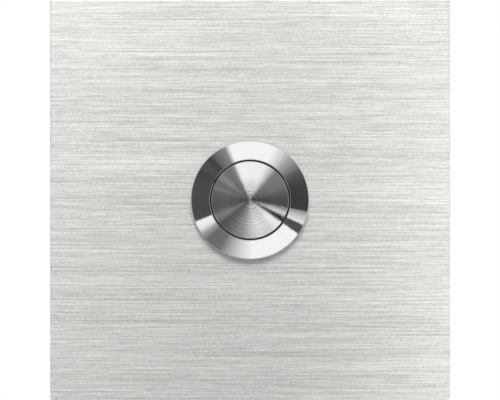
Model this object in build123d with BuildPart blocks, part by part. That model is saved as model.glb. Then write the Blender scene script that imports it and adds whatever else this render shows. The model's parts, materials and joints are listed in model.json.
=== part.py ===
from build123d import *
from math import cos, pi, radians, tan
import os

os.makedirs("parts", exist_ok=True)

# Bell push for a wall: a square brushed plate with one turned push button in its centre.
# Millimetres. X runs to the right, Y from the front into the wall, Z up.
# The origin is the middle of the wall face. Depths are values of Y.

# Front plate
plate_side = 85.0
plate_thickness = 3.0
plate_corner_radius = 0.4
plate_edge_radius = 0.2

# Foam seal between plate and wall
seal_thickness = 1.5
seal_margin = 2.0
seal_strip_width = 5.0
seal_corner_radius = 2.0

# Weld studs on the back of the plate
stud_diameter = 4.0
stud_length = 20.0
stud_inset = 5.5
stud_foot_diameter = 5.5
stud_foot_height = 0.8
stud_tip_chamfer = 0.5

# Push button, from the cap outwards
cap_diameter = 16.5
cap_gap = 0.25
cap_recess = 0.1
cap_rise = 0.9
cap_tip_diameter = 0.7
cap_flange_overlap = 0.5
cap_flange_thickness = 1.2
cap_slide_clearance = 0.15
press_travel = 2.0
edge_break = 0.1

# Button housing
base_seat_step = 0.35
barrel_wall = 1.5
barrel_end_wall = 1.6
barrel_chamfer = 0.5
bezel_overhang = 1.6
bezel_height = 2.1
bezel_rim_height = 0.9
lip_length = 5.0
panel_hole_clearance = 0.15

# Seals of the button
flange_seal_width = 0.8
flange_seal_thickness = 0.6
cap_seal_section = 1.0
cap_seal_depth = 1.6
seal_clearance = 0.05

# Nut and lock washer
thread_clearance = 0.05
nut_sides = 6
nut_wall = 2.45
nut_thickness = 4.0
nut_chamfer_angle = 30.0
nut_face_inset = 0.5
washer_thickness = 0.8
washer_overhang = 1.5
washer_bore_clearance = 0.2
tooth_count = 18
tooth_gap_width = 1.2
tooth_gap_depth = 1.4

# Contact base and its ring
base_clearance = 0.1
base_wall = 2.15
base_body_length = 7.8
base_boss_step = 1.15
base_boss_length = 3.0
base_lead_in = 0.3
cavity_depth = 3.3
barrier_height = 4.6
barrier_thickness = 1.6
cheek_wall = 1.1
cheek_start = 4.2
ring_thickness = 0.8
ring_groove_depth = 0.35
ring_overlap = 0.8
ring_gap_width = 5.0
ring_play = 0.05

# Springs
return_spring_length = 5.5
return_spring_wire = 0.7
return_spring_turns = 3.0
return_spring_side_gap = 0.3
contact_spring_length = 4.0
contact_spring_wire = 0.4
contact_spring_turns = 2.5
contact_spring_side_gap = 0.35
spring_play = 0.05

# Plunger and clip
socket_diameter = 5.0
socket_depth = 2.6
plunger_fit = 0.02
plunger_collar_overlap = 1.5
stem_diameter = 2.8
stem_tail = 0.6
clip_thickness = 0.5
clip_diameter = 4.5
clip_groove_depth = 0.45
clip_jaw_width = 1.7
clip_play = 0.02
well_side_gap = 0.25
well_end_gap = 1.0

# Contacts and terminals
contact_gap = 1.0
contact_touch_clearance = 0.02
contact_diameter = 2.4
contact_height = 0.5
bridge_width = 4.0
bridge_thickness = 0.5
bridge_end_margin = 0.4
bridge_hole_clearance = 0.2
terminal_thickness = 0.8
terminal_width = 4.0
terminal_bend_radius = 0.5
terminal_slot_clearance = 0.05
leg_gap = 0.85
pad_gap = 0.65
tab_inset = 0.15

# Terminal screws and their washers
screw_diameter = 3.0
screw_length = 5.0
screw_head_diameter = 5.5
screw_head_height = 1.8
screw_slot_width = 0.8
screw_slot_depth = 0.9
screw_tip_gap = 0.5
screw_hole_clearance = 0.15
clamp_side = 5.0
clamp_thickness = 0.8
clamp_corner = 0.8

# Radii of the turned parts, built up from the cap
cap_radius = cap_diameter / 2
lip_radius = cap_radius + cap_gap
cap_flange_radius = lip_radius + cap_flange_overlap
chamber_radius = cap_flange_radius + cap_slide_clearance
base_bore_radius = chamber_radius + base_seat_step
ring_groove_radius = base_bore_radius + ring_groove_depth
barrel_radius = base_bore_radius + barrel_wall
bezel_radius = barrel_radius + bezel_overhang
panel_hole_radius = barrel_radius + panel_hole_clearance
flange_seal_inner = panel_hole_radius + seal_clearance
flange_seal_outer = flange_seal_inner + flange_seal_width
flange_recess_radius = flange_seal_outer + seal_clearance
cap_seal_outer = lip_radius - seal_clearance
cap_seal_inner = cap_seal_outer - cap_seal_section
cap_groove_radius = cap_seal_inner - seal_clearance
base_radius = base_bore_radius - base_clearance
cavity_radius = base_radius - base_wall
boss_radius = base_radius - base_boss_step
socket_radius = socket_diameter / 2
collar_radius = socket_radius + plunger_collar_overlap
stem_radius = stem_diameter / 2
clip_radius = clip_diameter / 2
clip_groove_radius = stem_radius - clip_groove_depth
clip_bore_radius = clip_groove_radius + clip_play
well_radius = clip_radius + well_side_gap
return_spring_radius = chamber_radius - return_spring_side_gap - return_spring_wire / 2
contact_spring_radius = stem_radius + contact_spring_side_gap + contact_spring_wire / 2
nut_bore_radius = barrel_radius + thread_clearance
nut_flat_radius = nut_bore_radius + nut_wall
screw_radius = screw_diameter / 2
contact_radius = contact_diameter / 2

# Depths of the housing and the cap
plate_back = -seal_thickness
plate_front = plate_back - plate_thickness
bezel_top = plate_front - bezel_height
bezel_rim = plate_front - bezel_rim_height
flange_recess = plate_front - flange_seal_thickness
cap_edge = bezel_top + cap_recess
cap_tip = cap_edge - cap_rise
cap_seal_front = cap_edge + cap_seal_depth
cap_seal_rear = cap_seal_front + cap_seal_section
cap_stop = bezel_top + lip_length
cap_rear = cap_stop + cap_flange_thickness
socket_floor = cap_rear - socket_depth
base_front = cap_rear + return_spring_length
base_shoulder = base_front + base_body_length
ring_groove_rear = base_shoulder + ring_thickness + ring_play
barrel_rear = ring_groove_rear + barrel_end_wall
washer_rear = plate_back + washer_thickness
nut_rear = washer_rear + nut_thickness
stud_tip = plate_back + stud_length

# Depths of the contact parts
cavity_floor = base_front + cavity_depth
base_rear = base_shoulder + base_boss_length
barrier_rear = base_rear + barrier_height
pad_front = cavity_floor - terminal_thickness
fixed_contact_face = pad_front - contact_height
bridge_contact_face = fixed_contact_face - contact_gap - contact_touch_clearance
bridge_rear = bridge_contact_face - contact_height
bridge_front = bridge_rear - bridge_thickness
clip_rear = bridge_rear + clip_thickness
stem_end = clip_rear + stem_tail
collar_rear = bridge_front - contact_spring_length
well_floor = stem_end + press_travel + well_end_gap
tab_rear = base_rear + terminal_thickness
clamp_rear = tab_rear + clamp_thickness
screw_tip = clamp_rear - screw_length
screw_head_rear = clamp_rear + screw_head_height

# Places of the contact parts across the push axis
leg_inner = clip_radius + leg_gap
leg_outer = leg_inner + terminal_thickness
pad_end = cavity_radius - pad_gap
tab_end = boss_radius - tab_inset
contact_offset = (leg_inner + pad_end) / 2
screw_offset = (leg_outer + tab_end) / 2
bridge_length = 2 * (contact_offset + contact_radius + bridge_end_margin)


def depth_plane(depth):
    """Plane parallel to the wall at this depth, facing the front, with X right and Z up."""
    return Plane.XZ.offset(-depth)


def profile(points):
    """Closed profile of (radius, depth) points, ready to be turned about the push axis."""
    with BuildSketch(Plane.XY) as outline:
        with BuildLine():
            Polyline(*points, close=True)
        make_face()
    return outline.sketch


def band(inner, outer, front, rear):
    """Rectangular ring section between two radii and two depths."""
    return profile([(inner, front), (outer, front), (outer, rear), (inner, rear)])


# Front plate with the hole for the button
with BuildPart() as front_plate:
    with BuildSketch(depth_plane(plate_back)):
        RectangleRounded(plate_side, plate_side, plate_corner_radius)
        Circle(panel_hole_radius, mode=Mode.SUBTRACT)
    extrude(amount=plate_thickness)
    front_face = front_plate.faces().sort_by(Axis.Y)[0]
    fillet(front_face.outer_wire().edges(), plate_edge_radius)

# Sides of the foam frame, with the studs inside it
seal_outer_side = plate_side - 2 * seal_margin
seal_inner_side = seal_outer_side - 2 * seal_strip_width
stud_spacing = seal_inner_side - 2 * stud_inset

# Four weld studs, each with the thin foot that is welded to the plate
with BuildPart() as fixing_studs:
    with BuildSketch(depth_plane(stud_tip)):
        with GridLocations(stud_spacing, stud_spacing, 2, 2):
            Circle(stud_diameter / 2)
    extrude(amount=stud_length)
    chamfer(fixing_studs.edges().group_by(Axis.Y)[-1], stud_tip_chamfer)
    with BuildSketch(depth_plane(plate_back + stud_foot_height)):
        with GridLocations(stud_spacing, stud_spacing, 2, 2):
            Circle(stud_foot_diameter / 2)
    extrude(amount=stud_foot_height)

# Foam frame that closes the gap to the wall
with BuildPart() as wall_seal:
    with BuildSketch(depth_plane(0)):
        RectangleRounded(seal_outer_side, seal_outer_side, seal_corner_radius)
        Rectangle(seal_inner_side, seal_inner_side, mode=Mode.SUBTRACT)
    extrude(amount=seal_thickness)

# Housing in one piece: conical bezel in front, threaded barrel behind, stepped bore inside
housing_outside = [
    (lip_radius, bezel_top + edge_break),
    (lip_radius + edge_break, bezel_top),
    (bezel_radius - edge_break, bezel_rim),
    (bezel_radius, bezel_rim + edge_break),
    (bezel_radius, plate_front),
    (flange_recess_radius, plate_front),
    (flange_recess_radius, flange_recess),
    (barrel_radius, flange_recess),
    (barrel_radius, barrel_rear - barrel_chamfer),
    (barrel_radius - barrel_chamfer, barrel_rear),
]
housing_bore = [
    (base_bore_radius, barrel_rear),
    (base_bore_radius, ring_groove_rear),
    (ring_groove_radius, ring_groove_rear),
    (ring_groove_radius, base_shoulder),
    (base_bore_radius, base_shoulder),
    (base_bore_radius, base_front),
    (chamber_radius, base_front),
    (chamber_radius, cap_stop),
    (lip_radius, cap_stop),
]
with BuildPart() as button_housing:
    revolve(profile(housing_outside + housing_bore), axis=Axis.Y)

# Flat rubber ring in the recess under the bezel
with BuildPart() as flange_seal:
    revolve(band(flange_seal_inner, flange_seal_outer, flange_recess, plate_front), axis=Axis.Y)

# Lock washer with teeth around its rim
washer_radius = nut_flat_radius + washer_overhang
with BuildPart() as lock_washer:
    with BuildSketch(depth_plane(washer_rear)):
        Circle(washer_radius)
        Circle(barrel_radius + washer_bore_clearance, mode=Mode.SUBTRACT)
        with PolarLocations(washer_radius, tooth_count):
            Rectangle(2 * tooth_gap_depth, tooth_gap_width, mode=Mode.SUBTRACT)
    extrude(amount=washer_thickness)

# Hexagon nut with its corners turned off on the rear face
nut_corner_radius = nut_flat_radius / cos(pi / nut_sides)
nut_face_radius = nut_flat_radius - nut_face_inset
nut_chamfer = (nut_corner_radius - nut_face_radius) * tan(radians(nut_chamfer_angle))
nut_envelope = [
    (0, washer_rear),
    (nut_corner_radius, washer_rear),
    (nut_corner_radius, nut_rear - nut_chamfer),
    (nut_face_radius, nut_rear),
    (0, nut_rear),
]
with BuildPart() as hex_nut:
    with BuildSketch(depth_plane(nut_rear)):
        RegularPolygon(nut_flat_radius, nut_sides, major_radius=False)
        Circle(nut_bore_radius, mode=Mode.SUBTRACT)
    extrude(amount=nut_thickness)
    revolve(profile(nut_envelope), axis=Axis.Y, mode=Mode.INTERSECT)

# Cap with a low conical face and a small flat tip, a groove for its seal, a flange behind the lip
# and a rear socket
cap_outline = [
    (0, cap_tip),
    (cap_tip_diameter / 2, cap_tip),
    (cap_radius - edge_break, cap_edge),
    (cap_radius, cap_edge + edge_break),
    (cap_radius, cap_seal_front - seal_clearance),
    (cap_groove_radius, cap_seal_front - seal_clearance),
    (cap_groove_radius, cap_seal_rear + seal_clearance),
    (cap_radius, cap_seal_rear + seal_clearance),
    (cap_radius, cap_stop),
    (cap_flange_radius, cap_stop),
    (cap_flange_radius, cap_rear),
    (socket_radius, cap_rear),
    (socket_radius, socket_floor),
    (0, socket_floor),
]
with BuildPart() as button_cap:
    revolve(profile(cap_outline), axis=Axis.Y)

# Square-section ring that seals the cap in the lip
with BuildPart() as cap_seal:
    revolve(band(cap_seal_inner, cap_seal_outer, cap_seal_front, cap_seal_rear), axis=Axis.Y)

# Plunger: a spigot in the cap, a collar and a stem with a groove for the clip
plunger_outline = [
    (0, socket_floor + plunger_fit),
    (socket_radius - plunger_fit, socket_floor + plunger_fit),
    (socket_radius - plunger_fit, cap_rear),
    (collar_radius, cap_rear),
    (collar_radius, collar_rear),
    (stem_radius, collar_rear),
    (stem_radius, bridge_rear - clip_play),
    (clip_groove_radius, bridge_rear - clip_play),
    (clip_groove_radius, clip_rear + clip_play),
    (stem_radius, clip_rear + clip_play),
    (stem_radius, stem_end),
    (0, stem_end),
]
with BuildPart() as plunger:
    revolve(profile(plunger_outline), axis=Axis.Y)

# Open clip in the groove of the stem
with BuildPart() as bridge_clip:
    with BuildSketch(depth_plane(clip_rear)):
        Circle(clip_radius)
        Circle(clip_bore_radius, mode=Mode.SUBTRACT)
        with Locations((0, -clip_radius)):
            Rectangle(clip_jaw_width, 2 * clip_radius, mode=Mode.SUBTRACT)
    extrude(amount=clip_thickness)

# Return spring of square wire between the cap and the base
with BuildPart() as return_spring:
    return_coil_height = return_spring_length - return_spring_wire - 2 * spring_play
    with BuildLine() as return_coil:
        Helix(
            pitch=return_coil_height / return_spring_turns,
            height=return_coil_height,
            radius=return_spring_radius,
            center=(0, cap_rear + spring_play + return_spring_wire / 2, 0),
            direction=(0, 1, 0),
        )
    with BuildSketch(Plane(return_coil.line @ 0, x_dir=(1, 0, 0), z_dir=return_coil.line % 0)):
        Rectangle(return_spring_wire, return_spring_wire)
    sweep(path=return_coil.line, is_frenet=True)

# Contact spring of square wire between the plunger's collar and the bridge
with BuildPart() as contact_spring:
    contact_coil_height = contact_spring_length - contact_spring_wire - 2 * spring_play
    with BuildLine() as contact_coil:
        Helix(
            pitch=contact_coil_height / contact_spring_turns,
            height=contact_coil_height,
            radius=contact_spring_radius,
            center=(0, collar_rear + spring_play + contact_spring_wire / 2, 0),
            direction=(0, 1, 0),
        )
    with BuildSketch(Plane(contact_coil.line @ 0, x_dir=(1, 0, 0), z_dir=contact_coil.line % 0)):
        Rectangle(contact_spring_wire, contact_spring_wire)
    sweep(path=contact_coil.line, is_frenet=True)

# Bridge with a hole for the stem
with BuildPart() as contact_bridge:
    with BuildSketch(depth_plane(bridge_rear)):
        SlotOverall(bridge_length, bridge_width)
        Circle(stem_radius + bridge_hole_clearance, mode=Mode.SUBTRACT)
    extrude(amount=bridge_thickness)

# Contact tips brazed to the back of the bridge
with BuildPart() as bridge_contacts:
    with BuildSketch(depth_plane(bridge_contact_face)):
        with GridLocations(2 * contact_offset, 0, 2, 1):
            Circle(contact_radius)
    extrude(amount=contact_height)

# Contact tips brazed to the front of the terminals
with BuildPart() as fixed_contacts:
    with BuildSketch(depth_plane(pad_front)):
        with GridLocations(2 * contact_offset, 0, 2, 1):
            Circle(contact_radius)
    extrude(amount=contact_height)

# Terminal: a strip bent round the base, with a pad inside and a tab for the screw behind
terminal_outline = [
    (pad_end, pad_front),
    (leg_inner, pad_front),
    (leg_inner, tab_rear),
    (tab_end, tab_rear),
    (tab_end, base_rear),
    (leg_outer, base_rear),
    (leg_outer, cavity_floor),
    (pad_end, cavity_floor),
]
with BuildPart() as right_terminal:
    with BuildSketch(Plane.XY) as terminal_strip:
        with BuildLine():
            Polyline(*terminal_outline, close=True)
        make_face()
        outer_bends = terminal_strip.vertices().group_by(Axis.X)[0]
        fillet(outer_bends, terminal_bend_radius)
    extrude(amount=terminal_width / 2, both=True)
    with BuildSketch(depth_plane(tab_rear)):
        with Locations((screw_offset, 0)):
            Circle(screw_radius + thread_clearance)
    extrude(amount=terminal_thickness, mode=Mode.SUBTRACT)

with BuildPart() as left_terminal:
    mirror(right_terminal.part, about=Plane.YZ)

# Moulded base: a plug with a contact chamber in front, barriers behind, slots and screw holes
base_outline = [
    (0, well_floor),
    (well_radius, well_floor),
    (well_radius, cavity_floor),
    (cavity_radius, cavity_floor),
    (cavity_radius, base_front),
    (base_radius, base_front),
    (base_radius, base_shoulder),
    (boss_radius, base_shoulder),
    (boss_radius, base_rear),
    (0, base_rear),
]
slot_thickness = terminal_thickness + 2 * terminal_slot_clearance
slot_width = terminal_width + 2 * terminal_slot_clearance
screw_hole_depth = base_rear - screw_tip + screw_tip_gap
with BuildPart() as contact_base:
    revolve(profile(base_outline), axis=Axis.Y)
    with BuildSketch(depth_plane(barrier_rear)):
        Circle(boss_radius)
        Circle(boss_radius - cheek_wall, mode=Mode.SUBTRACT)
        Rectangle(2 * boss_radius, 2 * cheek_start, mode=Mode.SUBTRACT)
        Rectangle(barrier_thickness, 2 * boss_radius - cheek_wall)
    extrude(amount=barrier_height)
    with BuildSketch(depth_plane(base_rear)):
        with GridLocations(leg_inner + leg_outer, 0, 2, 1):
            Rectangle(slot_thickness, slot_width)
    extrude(amount=base_rear - cavity_floor, mode=Mode.SUBTRACT)
    with BuildSketch(depth_plane(base_rear)):
        with GridLocations(2 * screw_offset, 0, 2, 1):
            Circle(screw_radius + screw_hole_clearance)
    extrude(amount=screw_hole_depth, mode=Mode.SUBTRACT)
    front_rim = contact_base.edges().group_by(Axis.Y)[0].sort_by(SortBy.RADIUS)[-1]
    chamfer(front_rim, base_lead_in)

# Open ring that keeps the base in the barrel
with BuildPart() as retaining_ring:
    with BuildSketch(depth_plane(base_shoulder + ring_thickness)):
        Circle(ring_groove_radius - ring_play)
        Circle(base_radius - ring_overlap, mode=Mode.SUBTRACT)
        with Locations((0, base_radius)):
            Rectangle(ring_gap_width, base_radius, mode=Mode.SUBTRACT)
    extrude(amount=ring_thickness)

# Square clamp washers under the screw heads
with BuildPart() as clamp_washers:
    with BuildSketch(depth_plane(clamp_rear)) as clamp_sketch:
        with GridLocations(2 * screw_offset, 0, 2, 1):
            Rectangle(clamp_side, clamp_side)
        chamfer(clamp_sketch.vertices(), clamp_corner)
        with GridLocations(2 * screw_offset, 0, 2, 1):
            Circle(screw_radius + screw_hole_clearance, mode=Mode.SUBTRACT)
    extrude(amount=clamp_thickness)

# Slotted terminal screws
with BuildPart() as terminal_screws:
    with BuildSketch(depth_plane(clamp_rear)):
        with GridLocations(2 * screw_offset, 0, 2, 1):
            Circle(screw_radius)
    extrude(amount=screw_length)
    with BuildSketch(depth_plane(screw_head_rear)):
        with GridLocations(2 * screw_offset, 0, 2, 1):
            Circle(screw_head_diameter / 2)
    extrude(amount=screw_head_height)
    with BuildSketch(depth_plane(screw_head_rear)):
        with GridLocations(2 * screw_offset, 0, 2, 1):
            Rectangle(screw_slot_width, 2 * screw_head_diameter)
    extrude(amount=screw_slot_depth, mode=Mode.SUBTRACT)

pieces = {
    "front_plate": front_plate,
    "fixing_studs": fixing_studs,
    "wall_seal": wall_seal,
    "button_housing": button_housing,
    "flange_seal": flange_seal,
    "lock_washer": lock_washer,
    "hex_nut": hex_nut,
    "button_cap": button_cap,
    "cap_seal": cap_seal,
    "plunger": plunger,
    "bridge_clip": bridge_clip,
    "return_spring": return_spring,
    "contact_spring": contact_spring,
    "contact_bridge": contact_bridge,
    "bridge_contacts": bridge_contacts,
    "fixed_contacts": fixed_contacts,
    "left_terminal": left_terminal,
    "right_terminal": right_terminal,
    "contact_base": contact_base,
    "retaining_ring": retaining_ring,
    "clamp_washers": clamp_washers,
    "terminal_screws": terminal_screws,
}
for name, piece in pieces.items():
    piece.part.label = name
    export_step(piece.part, f"parts/{name}.step")
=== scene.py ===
import json
from math import cos, pi, radians, sin, tau

import bmesh
import bpy
from mathutils import Matrix, Vector, noise


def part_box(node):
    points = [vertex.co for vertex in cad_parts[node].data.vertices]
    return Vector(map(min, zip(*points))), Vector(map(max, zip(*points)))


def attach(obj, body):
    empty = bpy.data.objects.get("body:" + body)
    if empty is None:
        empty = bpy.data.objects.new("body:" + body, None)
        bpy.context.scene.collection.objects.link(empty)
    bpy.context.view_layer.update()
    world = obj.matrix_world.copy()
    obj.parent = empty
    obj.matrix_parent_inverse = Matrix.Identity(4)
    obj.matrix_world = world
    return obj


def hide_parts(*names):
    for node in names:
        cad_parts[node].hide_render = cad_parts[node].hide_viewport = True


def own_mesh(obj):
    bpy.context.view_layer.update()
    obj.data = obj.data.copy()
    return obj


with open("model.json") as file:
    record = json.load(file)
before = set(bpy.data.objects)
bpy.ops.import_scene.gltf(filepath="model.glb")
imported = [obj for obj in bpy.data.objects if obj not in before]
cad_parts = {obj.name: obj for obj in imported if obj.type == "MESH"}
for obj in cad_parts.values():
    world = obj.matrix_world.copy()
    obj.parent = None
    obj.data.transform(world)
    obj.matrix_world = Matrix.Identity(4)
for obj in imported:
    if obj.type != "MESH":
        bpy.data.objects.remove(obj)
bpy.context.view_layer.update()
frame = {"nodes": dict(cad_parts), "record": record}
nodes = frame["nodes"]
record = frame["record"]
slot_of = {part["node"]: part["material_slot"] for part in record["subparts"]}
written_colour = {entry["slot"]: entry["base_color"] for entry in record["materials"]}

# Lengths are metres. The push axis is Y, the front faces -Y, and depths are values of Y.
MM = 0.001
TINY = 1e-7


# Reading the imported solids

SEAM_REACH = 15 * MM
SEAM_DIGITS = 7
STRAIGHT = 1e-9


def seam_outline(node, centre=(0.0, 0.0)):
    """Corners (radius, depth) of a turned solid about a centre (x, z), in order round its section."""
    mesh = nodes[node].data
    links = {}
    for edge in mesh.edges:
        ends = [mesh.vertices[i].co - Vector((centre[0], 0, centre[1])) for i in edge.vertices]
        if all(abs(p.z) < TINY and -TINY < p.x < SEAM_REACH for p in ends):
            a, b = ((round(p.x, SEAM_DIGITS), round(p.y, SEAM_DIGITS)) for p in ends)
            links.setdefault(a, set()).add(b)
            links.setdefault(b, set()).add(a)
    path = [min(links, key=lambda point: (len(links[point]), point))]
    onward = list(links[path[0]])
    while onward:
        path.append(onward[0])
        onward = [point for point in links[path[-1]] if point not in path]
    if len(links[path[0]]) == 1:
        path = [(0.0, path[0][1])] + path + [(0.0, path[-1][1])]
    path = [point for i, point in enumerate(path) if point != path[i - 1]]
    neighbours = zip(path[-1:] + path, path, path[1:] + path[:1])
    return [corner for before, corner, after in neighbours if not in_line(before, corner, after)]


def in_line(before, corner, after):
    """Whether the outline runs straight on at a corner."""
    a = (corner[0] - before[0]) * (after[1] - corner[1])
    b = (corner[1] - before[1]) * (after[0] - corner[0])
    return abs(a - b) < STRAIGHT


def wire_of(node):
    """Mean radius and thickness of a spring's wire."""
    reaches = [v.co.xz.length for v in nodes[node].data.vertices]
    return (max(reaches) + min(reaches)) / 2, max(reaches) - min(reaches)


# Building meshes

SHARP_ANGLE = radians(35)
ARC_SHARE = 0.45
FLAT_WEIGHT = 100


def piece(name, mesh, body, slot, *replaced):
    """Adds a mesh to the scene as a piece that rides on a body and stands for CAD nodes."""
    mesh.name = name
    made = bpy.data.objects.new(name, mesh)
    bpy.context.scene.collection.objects.link(made)
    mesh.materials.clear()
    mesh.materials.append(finishes[slot])
    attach(made, body)
    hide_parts(*replaced)
    return made


def closed_mesh(verts, faces):
    """Mesh with doubled points welded, normals outwards and smooth shading between its sharp edges."""
    mesh = bpy.data.meshes.new("closed")
    mesh.from_pydata(verts, [], faces)
    work = bmesh.new()
    work.from_mesh(mesh)
    bmesh.ops.remove_doubles(work, verts=work.verts, dist=TINY)
    bmesh.ops.recalc_face_normals(work, faces=work.faces)
    work.to_mesh(mesh)
    work.free()
    mesh.polygons.foreach_set("use_smooth", [True] * len(mesh.polygons))
    mesh.set_sharp_from_angle(angle=SHARP_ANGLE)
    return mesh


def rounded(outline, radius, steps=3):
    """The closed outline with each corner off the axis replaced by a small arc, which takes no more
    than a share of either side."""
    result = []
    count = len(outline)
    for i, (r, y) in enumerate(outline):
        sides = (outline[i - 1], outline[(i + 1) % count])
        lengths = [((q - r) ** 2 + (d - y) ** 2) ** 0.5 for q, d in sides]
        if r == 0:
            result.append((r, y))
            continue
        near = min(radius, *(ARC_SHARE * length for length in lengths))
        ends = [
            (r + (q - r) / length * near, y + (d - y) / length * near)
            for (q, d), length in zip(sides, lengths)
        ]
        for step in range(steps + 1):
            t = step / steps
            weights = ((1 - t) ** 2, 2 * t * (1 - t), t ** 2)
            points = (ends[0], (r, y), ends[1])
            result.append(tuple(sum(w * p[k] for w, p in zip(weights, points)) for k in (0, 1)))
    return result


# A thread's profile in shares of its pitch: corners along the axis, each cut not at all or in full.
# Turns beyond the thread's own make sure that the strip reaches both ends.
CREST = 1 / 8
FLANK = 5 / 16
ROOT = 1 / 4
THREAD_STEPS = ((0, 0), (CREST, 0), (CREST + FLANK, 1), (CREST + FLANK + ROOT, 1))
SPARE_TURNS = 3


def thread_strip(major, front, rear, pitch, depth, segments):
    """Points and faces of a right-hand thread that fades out over one pitch at both ends."""
    rows = []
    for turn in range(int((rear - front) / pitch) + SPARE_TURNS):
        for step, cut in THREAD_STEPS:
            row = []
            for k in range(segments + 1):
                y = min(rear, max(front, front + pitch * (turn + step - k / segments)))
                fade = min(1, (y - front) / pitch, (rear - y) / pitch)
                r = major - depth * cut * fade
                angle = tau * k / segments
                row.append((r * cos(angle), y, r * sin(angle)))
            rows.append(row)
    verts = [point for row in rows for point in row]
    wide = segments + 1
    faces = []
    for j in range(len(rows) - 1):
        for k in range(segments):
            a = j * wide + k
            faces.append((a, a + 1, a + 1 + wide, a + wide))
    return verts, faces


def turned(outline, segments=192, centre=(0.0, 0.0), thread=None):
    """Points and faces of a solid turned about an axis along Y through a centre (x, z).
    A thread (pitch, depth) is cut in the longest run of the outline along the axis."""
    closed = list(zip(outline, outline[1:] + outline[:1]))
    straight = [run for run in closed if run[0][0] > TINY and abs(run[0][0] - run[1][0]) < TINY]
    cut = max(straight, key=lambda run: abs(run[0][1] - run[1][1])) if thread else None
    verts = []
    faces = []
    for near, far in closed:
        start = len(verts)
        if (near, far) == cut:
            front, rear = sorted((near[1], far[1]))
            strip, strip_faces = thread_strip(near[0], front, rear, *thread, segments)
            verts += strip
            faces += [tuple(start + i for i in face) for face in strip_faces]
        elif near[0] > 0 or far[0] > 0:
            for k in range(segments):
                angle = tau * k / segments
                verts += [(r * cos(angle), y, r * sin(angle)) for r, y in (near, far)]
            for k in range(segments):
                a = start + 2 * k
                b = start + 2 * ((k + 1) % segments)
                faces.append((a, b, b + 1, a + 1))
    return [(x + centre[0], y, z + centre[1]) for x, y, z in verts], faces


def joined(parts):
    """Points and faces of several solids put together."""
    verts = []
    faces = []
    for part_verts, part_faces in parts:
        faces += [tuple(len(verts) + i for i in face) for face in part_faces]
        verts += part_verts
    return verts, faces


def coil(radius, wire, front, rear, turns, closed, sides=14, per_turn=56):
    """Points and faces of round wire wound about the push axis, with closed turns at both ends."""
    path_turns = turns + 2 * closed
    low = front + wire / 2
    high = rear - wire / 2
    closed_rise = closed * wire
    count = round(path_turns * per_turn)
    verts = []
    for i in range(count + 1):
        turn = path_turns * i / count
        if turn < closed:
            y = low + wire * turn
        elif turn > path_turns - closed:
            y = high - wire * (path_turns - turn)
        else:
            y = low + closed_rise + (high - low - 2 * closed_rise) * (turn - closed) / turns
        angle = tau * turn
        for k in range(sides):
            a = tau * k / sides
            r = radius + wire / 2 * cos(a)
            verts.append((r * cos(angle), y + wire / 2 * sin(a), r * sin(angle)))
    faces = [tuple(range(sides)), tuple(range(count * sides, (count + 1) * sides))]
    for i in range(count):
        for k in range(sides):
            m = (k + 1) % sides
            a = i * sides
            b = a + sides
            faces.append((a + k, a + m, b + m, b + k))
    return verts, faces


WELD_REACH = 2e-6
FLAT_ANGLE = radians(0.5)
BEVEL_SEGMENTS = 2
ROUND_PROFILE = 0.5


def softened(node, width):
    """Copy of a node's mesh with welded seams, whole flat faces and small rounded edges."""
    mesh = nodes[node].data.copy()
    work = bmesh.new()
    work.from_mesh(mesh)
    bmesh.ops.remove_doubles(work, verts=work.verts, dist=WELD_REACH)
    bmesh.ops.dissolve_limit(work, angle_limit=FLAT_ANGLE, verts=work.verts, edges=work.edges)
    sharp = [e for e in work.edges if e.is_manifold and e.calc_face_angle() > SHARP_ANGLE]
    bmesh.ops.bevel(
        work, geom=sharp, offset=width, offset_type="OFFSET", segments=BEVEL_SEGMENTS,
        profile=ROUND_PROFILE, affect="EDGES", clamp_overlap=True,
    )
    bmesh.ops.recalc_face_normals(work, faces=work.faces)
    work.to_mesh(mesh)
    work.free()
    mesh.polygons.foreach_set("use_smooth", [True] * len(mesh.polygons))
    return mesh


def flat_faces(made, keep_sharp=False):
    """Keeps broad faces flat beside rounded edges."""
    weighted = made.modifiers.new("flat_faces", "WEIGHTED_NORMAL")
    weighted.weight = FLAT_WEIGHT
    weighted.keep_sharp = keep_sharp


# Materials

# Sums of noises lie mostly within this range.
NOISE_RANGE = (0.36, 0.64)


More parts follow.
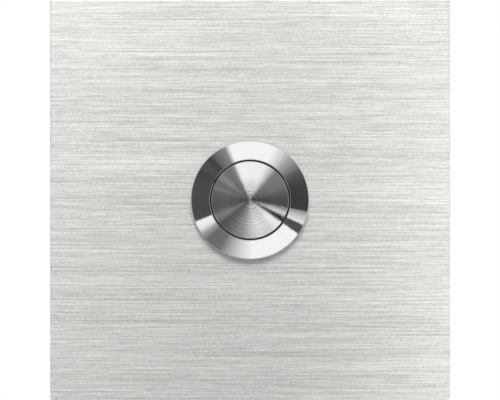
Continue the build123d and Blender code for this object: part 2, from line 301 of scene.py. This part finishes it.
class Finish:
    """A material with one Principled shader, and short calls to add nodes to it."""

    def __init__(self, name, metallic, roughness):
        self.material = bpy.data.materials.new(name)
        self.material.use_nodes = True
        self.tree = self.material.node_tree
        self.shader = self.tree.nodes["Principled BSDF"]
        self.set("Metallic", metallic)
        self.set("Roughness", roughness)
        self.place = self.add("ShaderNodeTexCoord").outputs["Object"]

    def add(self, kind, inputs=None, **settings):
        made = self.tree.nodes.new(kind)
        for key, value in settings.items():
            setattr(made, key, value)
        for key, value in (inputs or {}).items():
            if isinstance(value, bpy.types.NodeSocket):
                self.tree.links.new(value, made.inputs[key])
            else:
                made.inputs[key].default_value = value
        return made

    def set(self, socket, value):
        if isinstance(value, bpy.types.NodeSocket):
            self.tree.links.new(value, self.shader.inputs[socket])
        else:
            self.shader.inputs[socket].default_value = value

    def math(self, operation, *values):
        return self.add("ShaderNodeMath", dict(enumerate(values)), operation=operation).outputs[0]

    def vector(self, operation, *values):
        return self.add("ShaderNodeVectorMath", dict(enumerate(values)), operation=operation)

    def noise(self, per_metre, detail=2.0, roughness=0.5):
        """Noise from 0 to 1 with its own number of cells to the metre along X, Y and Z."""
        scaled = self.vector("MULTIPLY", self.place, per_metre).outputs[0]
        made = self.add(
            "ShaderNodeTexNoise",
            {"Vector": scaled, "Scale": 1.0, "Detail": detail, "Roughness": roughness},
        )
        return made.outputs["Fac"]

    def rings(self, per_metre, detail=2.0, roughness=0.5):
        """Noise that depends only on the distance from the push axis."""
        made = self.add(
            "ShaderNodeTexNoise",
            {"W": self.math("MULTIPLY", self.radius(), per_metre), "Scale": 1.0,
             "Detail": detail, "Roughness": roughness},
            noise_dimensions="1D",
        )
        return made.outputs["Fac"]

    def arcs(self, per_turn, per_metre, detail=2.0, roughness=0.5):
        """Noise drawn out along circles round the push axis."""
        apart = self.add("ShaderNodeSeparateXYZ", {0: self.place}).outputs
        turn = self.math("ARCTAN2", apart["Z"], apart["X"])
        round_about = self.math("MULTIPLY", turn, per_turn / tau)
        outwards = self.math("MULTIPLY", self.radius(), per_metre)
        made = self.add(
            "ShaderNodeTexNoise",
            {"Vector": self.add("ShaderNodeCombineXYZ", {0: round_about, 1: outwards}).outputs[0],
             "Scale": 1.0, "Detail": detail, "Roughness": roughness},
            noise_dimensions="2D",
        )
        return made.outputs["Fac"]

    def mixed(self, *shares):
        """Sum of noises, each times its share."""
        total = None
        for value, share in shares:
            part = self.math("MULTIPLY", value, share)
            total = part if total is None else self.math("ADD", total, part)
        return total

    def across(self):
        """The place without its depth: a vector from the push axis."""
        return self.vector("MULTIPLY", self.place, (1, 0, 1)).outputs[0]

    def radius(self):
        return self.vector("LENGTH", self.across()).outputs["Value"]

    def spread(self, value, low, high, start=0.0, end=1.0):
        """Maps start to end on to low to high, and stays within them."""
        made = self.add(
            "ShaderNodeMapRange",
            {"Value": value, "From Min": start, "From Max": end, "To Min": low, "To Max": high},
        )
        return made.outputs["Result"]

    def tint(self, amount, dark, light):
        """A colour between two, by an amount from 0 to 1."""
        made = self.add(
            "ShaderNodeMix", {"Factor": amount, "A": (*dark, 1), "B": (*light, 1)}, data_type="RGBA",
        )
        return made.outputs["Result"]

    def bump(self, height, distance, strength=1.0):
        made = self.add(
            "ShaderNodeBump", {"Height": height, "Distance": distance, "Strength": strength}
        )
        self.set("Normal", made.outputs["Normal"])


def shade(colour, factor):
    return tuple(min(1.0, c * factor) for c in colour)


def brushed_plate():
    """Horizontal brushing: long fine scratches of uneven length, with blurred highlights across them."""
    finish = Finish("brushed_plate", 1.0, 0.5)
    colour = written_colour["brushed_plate"]
    lines = finish.noise((28, 4400, 4400), detail=3.0, roughness=0.6)
    dashes = finish.noise((170, 3600, 3600), detail=2.0, roughness=0.55)
    grain = finish.noise((2400, 5000, 5000), detail=1.0)
    broad = finish.noise((8, 250, 250), detail=2.0)
    streaks = finish.mixed((lines, 0.45), (dashes, 0.25), (grain, 0.2), (broad, 0.1))
    contrast = finish.spread(streaks, 0.0, 1.0, *NOISE_RANGE)
    finish.set("Base Color", finish.tint(contrast, shade(colour, 0.72), shade(colour, 1.28)))
    finish.set("Roughness", finish.spread(contrast, 0.61, 0.535))
    finish.set("Anisotropic", 0.86)
    finish.set("Tangent", finish.add("ShaderNodeCombineXYZ", {"X": 0, "Y": 0.05, "Z": 1}).outputs[0])
    finish.bump(streaks, 0.01 * MM, 0.6)
    return finish.material


def turned_steel():
    """Lathe-turned face: highlights stretched away from the axis, broken by concentric tool marks.
    Near the axis the cut is slow, so the face is rougher there, with deeper marks; its colour is darker
    towards the axis."""
    finish = Finish("turned_steel", 1.0, 0.085)
    colour = written_colour["turned_steel"]
    radius = finish.radius()
    coarse = finish.rings(3000, detail=1.0)
    fine = finish.rings(6500, detail=2.0, roughness=0.6)
    scratches = finish.arcs(90, 5000, detail=2.0, roughness=0.6)
    marks = finish.mixed((coarse, 0.48), (fine, 0.12), (scratches, 0.4))
    contrast = finish.spread(marks, -1.0, 1.0, *NOISE_RANGE)
    depth = finish.spread(radius, 0.45, 0.03, 1 * MM, 5 * MM)
    # The colour is darker towards the axis.
    level = finish.spread(radius, 0.25, 0.6, 1.5 * MM, 5 * MM)
    amount = finish.math("MULTIPLY_ADD", contrast, depth, level)
    finish.set("Base Color", finish.tint(amount, shade(colour, 0.64), shade(colour, 1.24)))
    finish.set("Roughness", finish.spread(radius, 0.14, 0.085, 1 * MM, 5 * MM))
    finish.set("Anisotropic", 1.0)
    outward = finish.vector("NORMALIZE", finish.across()).outputs[0]
    finish.set("Tangent", finish.vector("ADD", outward, (0, 0.3, 0)).outputs[0])
    finish.bump(marks, 0.02 * MM, 0.36)
    return finish.material


def plain_metal(name, roughness, grain, speck=0.12):
    """Small metal part: a fine even grain that changes its colour and its gloss a little."""
    finish = Finish(name, 1.0, roughness)
    colour = written_colour[name]
    cloud = finish.noise((grain, grain, grain), detail=4.0, roughness=0.6)
    finish.set("Base Color", finish.tint(cloud, shade(colour, 1 - speck), shade(colour, 1 + speck)))
    finish.set("Roughness", finish.spread(cloud, roughness * 0.8, roughness * 1.25))
    finish.bump(cloud, 0.004 * MM, 0.5)
    return finish.material


def soft_black(name, roughness, cells, depth):
    """Rubber or foam: matte, with a skin of small cells."""
    finish = Finish(name, 0.0, roughness)
    colour = written_colour[name]
    grain = finish.noise((cells, cells, cells), detail=3.0, roughness=0.65)
    finish.set("Base Color", finish.tint(grain, shade(colour, 0.6), shade(colour, 1.7)))
    finish.set("Roughness", finish.spread(grain, roughness - 0.1, min(1.0, roughness + 0.1)))
    finish.bump(grain, depth, 0.8)
    return finish.material


def moulded(name, roughness, grain):
    """Moulded plastic: fine spark-eroded grain and faint clouds in the colour."""
    finish = Finish(name, 0.0, roughness)
    colour = written_colour[name]
    cloud = finish.noise((300, 300, 300), detail=2.0)
    skin = finish.noise((grain, grain, grain), detail=2.0)
    finish.set("Base Color", finish.tint(cloud, shade(colour, 0.85), shade(colour, 1.15)))
    finish.set("Roughness", finish.spread(skin, roughness - 0.08, roughness + 0.08))
    finish.bump(skin, 0.012 * MM, 0.6)
    return finish.material


finishes = {
    "brushed_plate": brushed_plate(),
    "turned_steel": turned_steel(),
    "stud_steel": plain_metal("stud_steel", 0.34, 2500),
    "nickel_plate": plain_metal("nickel_plate", 0.24, 1200, 0.08),
    "spring_steel": plain_metal("spring_steel", 0.32, 2000),
    "zinc_plate": plain_metal("zinc_plate", 0.26, 1500, 0.1),
    "terminal_brass": plain_metal("terminal_brass", 0.28, 1200),
    "contact_silver": plain_metal("contact_silver", 0.3, 2500, 0.08),
    "seal_foam": soft_black("seal_foam", 0.85, 3500, 0.06 * MM),
    "seal_rubber": soft_black("seal_rubber", 0.6, 5000, 0.015 * MM),
    "base_plastic": moulded("base_plastic", 0.42, 6000),
    "plunger_plastic": moulded("plunger_plastic", 0.38, 6000),
}

for name, node in nodes.items():
    node.data.materials.clear()
    node.data.materials.append(finishes[slot_of[name]])


# Turned pieces of the button, with their sharp corners broken

EDGE = 0.06 * MM
SOFT_EDGE = 0.2 * MM
SOFT_STEPS = 5
TIP_REACH = 2.0 * MM
TIP_STEPS = 8
BARREL_PITCH = 1.0 * MM
STUD_PITCH = 0.7 * MM
DEPTH_PER_PITCH = 0.6134
FINE_SEGMENTS = 256
STUD_SEGMENTS = 48


def domed(outline):
    """Outline from the axis outwards whose flat tip is eased into a shallow dome on the cone."""
    (_, level), (flat, _), (reach, edge) = outline[:3]
    slope = (edge - level) / (reach - flat)
    foot = level + slope * (TIP_REACH - flat)
    dome = []
    for k in range(TIP_STEPS + 1):
        r = TIP_REACH * k / TIP_STEPS
        dome.append((r, foot - slope * (TIP_REACH ** 2 - r ** 2) / (2 * TIP_REACH)))
    return dome + outline[2:]


cap_outline = rounded(domed(seam_outline("button_cap")), EDGE)
turned_cap = piece(
    "turned_cap", closed_mesh(*turned(cap_outline, FINE_SEGMENTS)),
    "button", "turned_steel", "button_cap",
)
flat_faces(turned_cap, keep_sharp=True)

housing_outline = rounded(seam_outline("button_housing"), EDGE)
barrel_thread = (BARREL_PITCH, DEPTH_PER_PITCH * BARREL_PITCH)
turned_housing = piece(
    "turned_housing", closed_mesh(*turned(housing_outline, FINE_SEGMENTS, thread=barrel_thread)),
    "panel", "turned_steel", "button_housing",
)
flat_faces(turned_housing, keep_sharp=True)

plunger_outline = rounded(seam_outline("plunger"), EDGE)
piece(
    "moulded_plunger", closed_mesh(*turned(plunger_outline)), "button", "plunger_plastic", "plunger",
)
for name, node, body in (
    ("flange_gasket", "flange_seal", "panel"),
    ("cap_gasket", "cap_seal", "button"),
):
    outline = rounded(seam_outline(node), SOFT_EDGE, SOFT_STEPS)
    piece(name, closed_mesh(*turned(outline)), body, "seal_rubber", node)


# Weld studs with rolled threads

stud_mount = next(mount for mount in record["mounts"] if mount["name"] == "wall_studs")
stud_x = stud_mount["dims"]["spacing_x_mm"] / 2 * MM
stud_z = stud_mount["dims"]["spacing_y_mm"] / 2 * MM
stud_thread = (STUD_PITCH, DEPTH_PER_PITCH * STUD_PITCH)
studs = []
for x in (-stud_x, stud_x):
    for z in (-stud_z, stud_z):
        outline = rounded(seam_outline("fixing_studs", (x, z)), EDGE)
        studs.append(turned(outline, STUD_SEGMENTS, (x, z), stud_thread))
piece("threaded_studs", closed_mesh(*joined(studs)), "panel", "stud_steel", "fixing_studs")


# Springs of round wire

def spring(name, node, body, turns, closed):
    """Coil in the place of a CAD spring."""
    low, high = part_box(node)
    radius, wire = wire_of(node)
    made = piece(
        name, closed_mesh(*coil(radius, wire, low.y, high.y, turns, closed)), body, "spring_steel", node,
    )
    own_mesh(made)


spring(
    "return_coil", "return_spring", "panel", turns=2.0, closed=0.75,
)
spring(
    "contact_coil", "contact_spring", "button", turns=3.0, closed=0.75,
)


# Foam frame: a strip with rounded edges and an uneven skin

FOAM_STEP = 0.5 * MM
FOAM_EDGE = 0.3 * MM
FOAM_EDGE_STEPS = 4
FOAM_UNEVEN = 0.08 * MM
FOAM_LUMPS_PER_METRE = 700


def divided(outline, step):
    """The closed outline with points added on its long runs, about one step apart."""
    result = []
    for (r, y), (q, d) in zip(outline, outline[1:] + outline[:1]):
        count = max(1, round(((q - r) ** 2 + (d - y) ** 2) ** 0.5 / step))
        result += [(r + (q - r) * k / count, y + (d - y) * k / count) for k in range(count)]
    return result


def foam_stations():
    """Pairs of inner and outer points (x, z) round the frame: sharp corners inside, round ones outside."""
    places = [v.co for v in nodes["wall_seal"].data.vertices]
    outer = max(p.x for p in places)
    inner = min(max(abs(p.x), abs(p.z)) for p in places)
    straight = max(p.z for p in places if outer - p.x < TINY)
    corner = outer - straight
    side_steps = round(2 * inner / FOAM_STEP)
    corner_steps = round(pi / 2 * corner / FOAM_STEP)
    side = []
    for k in range(side_steps):
        share = 1 - 2 * k / side_steps
        side.append((Vector((share * inner, inner)), Vector((share * straight, outer))))
    for k in range(corner_steps):
        angle = pi / 2 * (1 + k / corner_steps)
        on_arc = Vector((-straight + corner * cos(angle), straight + corner * sin(angle)))
        side.append((Vector((-inner, inner)), on_arc))
    quarters = [Matrix.Rotation(turn * pi / 2, 2) for turn in range(4)]
    return [(quarter @ near, quarter @ far) for quarter in quarters for near, far in side]


def foam_frame():
    """Points and faces of the strip, each point drawn in a little by an uneven amount. Its section is
    drawn one width away from zero, because a corner at zero would be left sharp."""
    low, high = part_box("wall_seal")
    stations = foam_stations()
    width = (stations[0][1] - stations[0][0]).length
    corners = [(width, low.y), (2 * width, low.y), (2 * width, high.y), (width, high.y)]
    section = divided(rounded(corners, FOAM_EDGE, FOAM_EDGE_STEPS), FOAM_STEP)
    middle = (low.y + high.y) / 2
    verts = []
    for near, far in stations:
        for across, y in section:
            x, z = near + (far - near) * (across / width - 1)
            lump = FOAM_UNEVEN * (1 + noise.noise(Vector((x, y, z)) * FOAM_LUMPS_PER_METRE)) / 2
            share = 0.5 + (across / width - 1.5) * (1 - 2 * lump / width)
            x, z = near + (far - near) * share
            verts.append((x, middle + (y - middle) * (1 - 2 * lump / (high.y - low.y)), z))
    wide = len(section)
    total = len(verts)
    faces = []
    for i in range(len(stations)):
        for k in range(wide):
            a = i * wide + k
            b = i * wide + (k + 1) % wide
            faces.append((a, b, (b + wide) % total, (a + wide) % total))
    return verts, faces


foam = piece("foam_frame", closed_mesh(*foam_frame()), "panel", "seal_foam", "wall_seal")


# Small rigid pieces with their edges eased

EASED = {
    "hex_nut": 0.15 * MM,
    "lock_washer": 0.08 * MM,
    "retaining_ring": 0.08 * MM,
    "contact_base": 0.15 * MM,
    "left_terminal": 0.08 * MM,
    "right_terminal": 0.08 * MM,
    "clamp_washers": 0.1 * MM,
    "terminal_screws": 0.12 * MM,
    "fixed_contacts": 0.1 * MM,
    "bridge_contacts": 0.1 * MM,
    "contact_bridge": 0.06 * MM,
    "bridge_clip": 0.06 * MM,
}
body_of = {node: body for body, group in record["behaviour"]["bodies"].items() for node in group}
for node, width in EASED.items():
    flat_faces(piece(f"{node}_eased", softened(node, width), body_of[node], slot_of[node], node))


# Camera, straight in front, with the plate as wide in the picture as in the photo

CAMERA_DISTANCE = 0.6
PHOTO_WIDTH = 500
PLATE_PIXELS = 399.6
SENSOR = 36.0

plate_low, plate_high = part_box("front_plate")
plate_front = plate_low.y
view_width = (plate_high.x - plate_low.x) * PHOTO_WIDTH / PLATE_PIXELS
camera_data = bpy.data.cameras.new("camera")
camera_data.sensor_width = SENSOR
camera_data.lens = SENSOR * CAMERA_DISTANCE / view_width
camera = bpy.data.objects.new("camera", camera_data)
camera.location = (0, plate_front - CAMERA_DISTANCE, 0)
camera.rotation_euler = (pi / 2, 0, 0)
bpy.context.scene.collection.objects.link(camera)
bpy.context.scene.camera = camera


# Stage: bright and dark cards before and behind the part, softboxes, a pale floor and white surroundings

WHITE = (1, 1, 1, 1)


def glowing(name):
    """Material that glows by the brightness stored in its mesh."""
    material = bpy.data.materials.new(name)
    material.use_nodes = True
    tree = material.node_tree
    tree.nodes.clear()
    read = tree.nodes.new("ShaderNodeAttribute")
    read.attribute_name = "glow"
    emit = tree.nodes.new("ShaderNodeEmission")
    out = tree.nodes.new("ShaderNodeOutputMaterial")
    tree.links.new(read.outputs["Fac"], emit.inputs["Strength"])
    tree.links.new(emit.outputs[0], out.inputs["Surface"])
    return material


# A fan of cards stands parallel to the plate. Each row is an azimuth in degrees, turning upwards from
# the right, with three brightnesses: near the push axis, which the cap mirrors, further out, which the
# bezel mirrors, and outside that, which only the plate and its edges mirror. The shades are those at
# the axis and in the gap between cap and bezel cards. Between two rows the brightness changes evenly.
AXIS_RADII = (0.0, 0.07)
NEAR_RADII = (0.15, 0.27)
GAP_RADII = (0.32, 0.50)
FAR_RADII = (0.56, 0.74)
OUTER_RADII = (0.9, 6.0)
FRONT_SHADES = (0.05, 0.03)
REAR_SHADES = (0.55, 0.55)
CARD_STEP = 4
FRONT_LEAN = 1.5
LEAN_AZIMUTH = 245
LEAN_BALANCE = 0.62
FRONT_DEPTH = -0.9
REAR_DEPTH = 0.9
TOP_CARD = 0.65
LEFT_CARD = 0.5
RIGHT_CARD = 0.8
BOTTOM_CARD = 0.2
front_cards = [
    (-9, 0.085, 0.03, RIGHT_CARD),
    (8, 0.13, 0.035, RIGHT_CARD),
    (20, 0.225, 0.05, RIGHT_CARD),
    (31, 0.275, 0.115, RIGHT_CARD),
    (47, 0.275, 0.52, TOP_CARD),
    (54, 0.70, 0.86, TOP_CARD),
    (66, 1.28, 1.30, TOP_CARD),
    (110.5, 1.32, 1.32, TOP_CARD),
    (116, 0.28, 0.32, TOP_CARD),
    (130, 0.23, 0.13, TOP_CARD),
    (133, 0.23, 0.05, LEFT_CARD),
    (139, 0.37, 0.08, LEFT_CARD),
    (145, 0.31, 0.09, LEFT_CARD),
    (150, 0.18, 0.06, LEFT_CARD),
    (160, 0.29, 0.075, LEFT_CARD),
    (166, 0.18, 0.075, LEFT_CARD),
    (186, 0.13, 0.075, LEFT_CARD),
    (200.6, 0.17, 0.07, LEFT_CARD),
    (202.6, 0.27, 1.30, LEFT_CARD),
    (210, 0.27, 1.15, LEFT_CARD),
    (216, 0.15, 0.46, BOTTOM_CARD),
    (223, 0.12, 0.20, BOTTOM_CARD),
    (237, 0.20, 0.21, BOTTOM_CARD),
    (258, 0.42, 0.90, BOTTOM_CARD),
    (273, 0.77, 1.32, BOTTOM_CARD),
    (283, 0.97, 1.32, BOTTOM_CARD),
    (304, 0.92, 1.32, BOTTOM_CARD),
    (316, 1.22, 1.32, BOTTOM_CARD),
    (324.5, 1.24, 1.32, BOTTOM_CARD),
    (324.9, 0.02, 0.10, BOTTOM_CARD),
    (334.7, 0.02, 0.10, BOTTOM_CARD),
    (335.1, 1.19, 1.17, BOTTOM_CARD),
    (347.5, 0.25, 0.42, RIGHT_CARD),
    (349, 0.08, 0.03, RIGHT_CARD),
]
rear_cards = [
    (0, 0.50, 0.40, 0.40),
    (40, 0.90, 0.80, 0.80),
    (90, 1.15, 1.20, 1.20),
    (140, 0.90, 0.80, 0.80),
    (180, 0.50, 0.40, 0.40),
    (225, 0.65, 0.70, 0.45),
    (270, 0.50, 0.45, 0.30),
    (315, 0.65, 0.70, 0.45),
]


def card_fan(name, cards, depth, shades, lean=0.0):
    """Flat ring of bright and dark cards round the push axis, which the camera doesn't see, with the
    shades at the axis and in the gap. With a lean, the lower left cards are brighter towards the axis."""
    axis, gap = shades
    first = cards[0]
    closed = cards + [(first[0] + 360, *first[1:])]
    spokes = []
    for row, after in zip(closed, closed[1:]):
        count = max(1, round((after[0] - row[0]) / CARD_STEP))
        for k in range(count):
            spokes.append([a + (b - a) * k / count for a, b in zip(row, after)])
    radii = AXIS_RADII + NEAR_RADII + GAP_RADII + FAR_RADII + OUTER_RADII
    verts = []
    glow = []
    for azimuth, near, far, outer in spokes:
        across, up = cos(radians(azimuth)), sin(radians(azimuth))
        verts += [(radius * across, depth, radius * up) for radius in radii]
        tilt = lean * max(0.0, cos(radians(azimuth - LEAN_AZIMUTH)))
        glow += [axis, axis, near * (1 + tilt), near * (1 - LEAN_BALANCE * tilt)]
        glow += [gap, gap, far, far, outer, outer]
    wide = len(radii)
    total = len(verts)
    faces = []
    for i in range(len(spokes)):
        a = i * wide
        b = (a + wide) % total
        for k in range(wide - 1):
            faces.append((a + k, a + k + 1, b + k + 1, b + k))
    mesh = bpy.data.meshes.new(name)
    mesh.from_pydata(verts, [], faces)
    mesh.attributes.new("glow", "FLOAT", "POINT").data.foreach_set("value", glow)
    mesh.materials.append(glowing(name))
    fan = bpy.data.objects.new(name, mesh)
    bpy.context.scene.collection.objects.link(fan)
    fan.visible_camera = False


card_fan("front_cards", front_cards, FRONT_DEPTH, FRONT_SHADES, FRONT_LEAN)
card_fan("rear_cards", rear_cards, REAR_DEPTH, REAR_SHADES)

# No lamp lights the turned metal, because lamps this near would show in its rims as glints.
turned_metal = bpy.data.collections.new("turned_metal")
for made in (turned_cap, turned_housing):
    turned_metal.objects.link(made)
for entry in turned_metal.collection_objects:
    entry.light_linking.link_state = "EXCLUDE"


def softbox(name, place, size, power):
    """Rectangular lamp at a place, turned to the origin, that lights all but the turned metal."""
    lamp = bpy.data.lights.new(name, "AREA")
    lamp.shape = "RECTANGLE"
    lamp.size, lamp.size_y = size
    lamp.energy = power
    made = bpy.data.objects.new(name, lamp)
    made.location = place
    made.rotation_euler = (-Vector(place)).to_track_quat("-Z", "Y").to_euler()
    made.visible_camera = False
    made.light_linking.receiver_collection = turned_metal
    bpy.context.scene.collection.objects.link(made)


# Each lamp has a name, a place, a width and height, and a power in watts.
lamps = [
    ("strip_top", (0.0, -0.16, 0.24), (0.12, 0.10), 0.16),
    ("upper_left", (-0.07, -0.18, 0.20), (0.06, 0.14), 0.165),
    ("upper_right", (0.07, -0.18, 0.20), (0.06, 0.14), 0.088),
    ("side_left", (-0.08, -0.15, -0.02), (0.05, 0.12), 0.034),
    ("side_right", (0.08, -0.15, -0.05), (0.05, 0.12), 0.087),
    ("edge_top", (0.0, -0.04, 0.085), (0.08, 0.03), 0.007),
    ("edge_left", (-0.2, -0.03, 0.0), (0.10, 0.16), 0.11),
    ("edge_right", (0.2, -0.03, 0.0), (0.10, 0.16), 0.13),
]
for lamp in lamps:
    softbox(*lamp)


def background_rays(tree, low, high):
    """Level that is high for the camera, for reflections and through glass, and low for other light."""
    path = tree.nodes.new("ShaderNodeLightPath").outputs
    shown = path["Is Camera Ray"]
    for kind in ("Is Glossy Ray", "Is Transmission Ray"):
        either = tree.nodes.new("ShaderNodeMath")
        either.operation = "MAXIMUM"
        tree.links.new(shown, either.inputs[0])
        tree.links.new(path[kind], either.inputs[1])
        shown = either.outputs[0]
    level = tree.nodes.new("ShaderNodeMapRange")
    level.inputs["To Min"].default_value = low
    level.inputs["To Max"].default_value = high
    tree.links.new(shown, level.inputs["Value"])
    return level.outputs[0]


FLOOR_LEVEL = -3.0
FLOOR_RADIUS = 9.0
FLOOR_SEGMENTS = 96
FLOOR_COLOUR = (0.9, 0.9, 0.9, 1)
FLOOR_ROUGHNESS = 0.9
FLOOR_LIFT = 0.38


def pale_floor():
    """Large pale disc well below the object, with a glow of its own where it shows."""
    work = bmesh.new()
    bmesh.ops.create_circle(work, cap_ends=True, segments=FLOOR_SEGMENTS, radius=FLOOR_RADIUS)
    mesh = bpy.data.meshes.new("floor")
    work.to_mesh(mesh)
    work.free()
    material = bpy.data.materials.new("floor")
    material.use_nodes = True
    shader = material.node_tree.nodes["Principled BSDF"]
    shader.inputs["Base Color"].default_value = FLOOR_COLOUR
    shader.inputs["Roughness"].default_value = FLOOR_ROUGHNESS
    shader.inputs["Emission Color"].default_value = WHITE
    lift = background_rays(material.node_tree, 0.0, FLOOR_LIFT)
    material.node_tree.links.new(lift, shader.inputs["Emission Strength"])
    mesh.materials.append(material)
    floor = bpy.data.objects.new("floor", mesh)
    floor.location.z = FLOOR_LEVEL
    bpy.context.scene.collection.objects.link(floor)


pale_floor()

LIGHT_LEVEL = 0.7
SHOWN_LEVEL = 1.0

world = bpy.data.worlds.new("studio")
bpy.context.scene.world = world
world.use_nodes = True
tree = world.node_tree
tree.nodes.clear()
backdrop = tree.nodes.new("ShaderNodeBackground")
backdrop.inputs["Color"].default_value = WHITE
tree.links.new(background_rays(tree, LIGHT_LEVEL, SHOWN_LEVEL), backdrop.inputs["Strength"])
out = tree.nodes.new("ShaderNodeOutputWorld")
tree.links.new(backdrop.outputs[0], out.inputs["Surface"])

bpy.context.scene.view_settings.view_transform = "Standard"
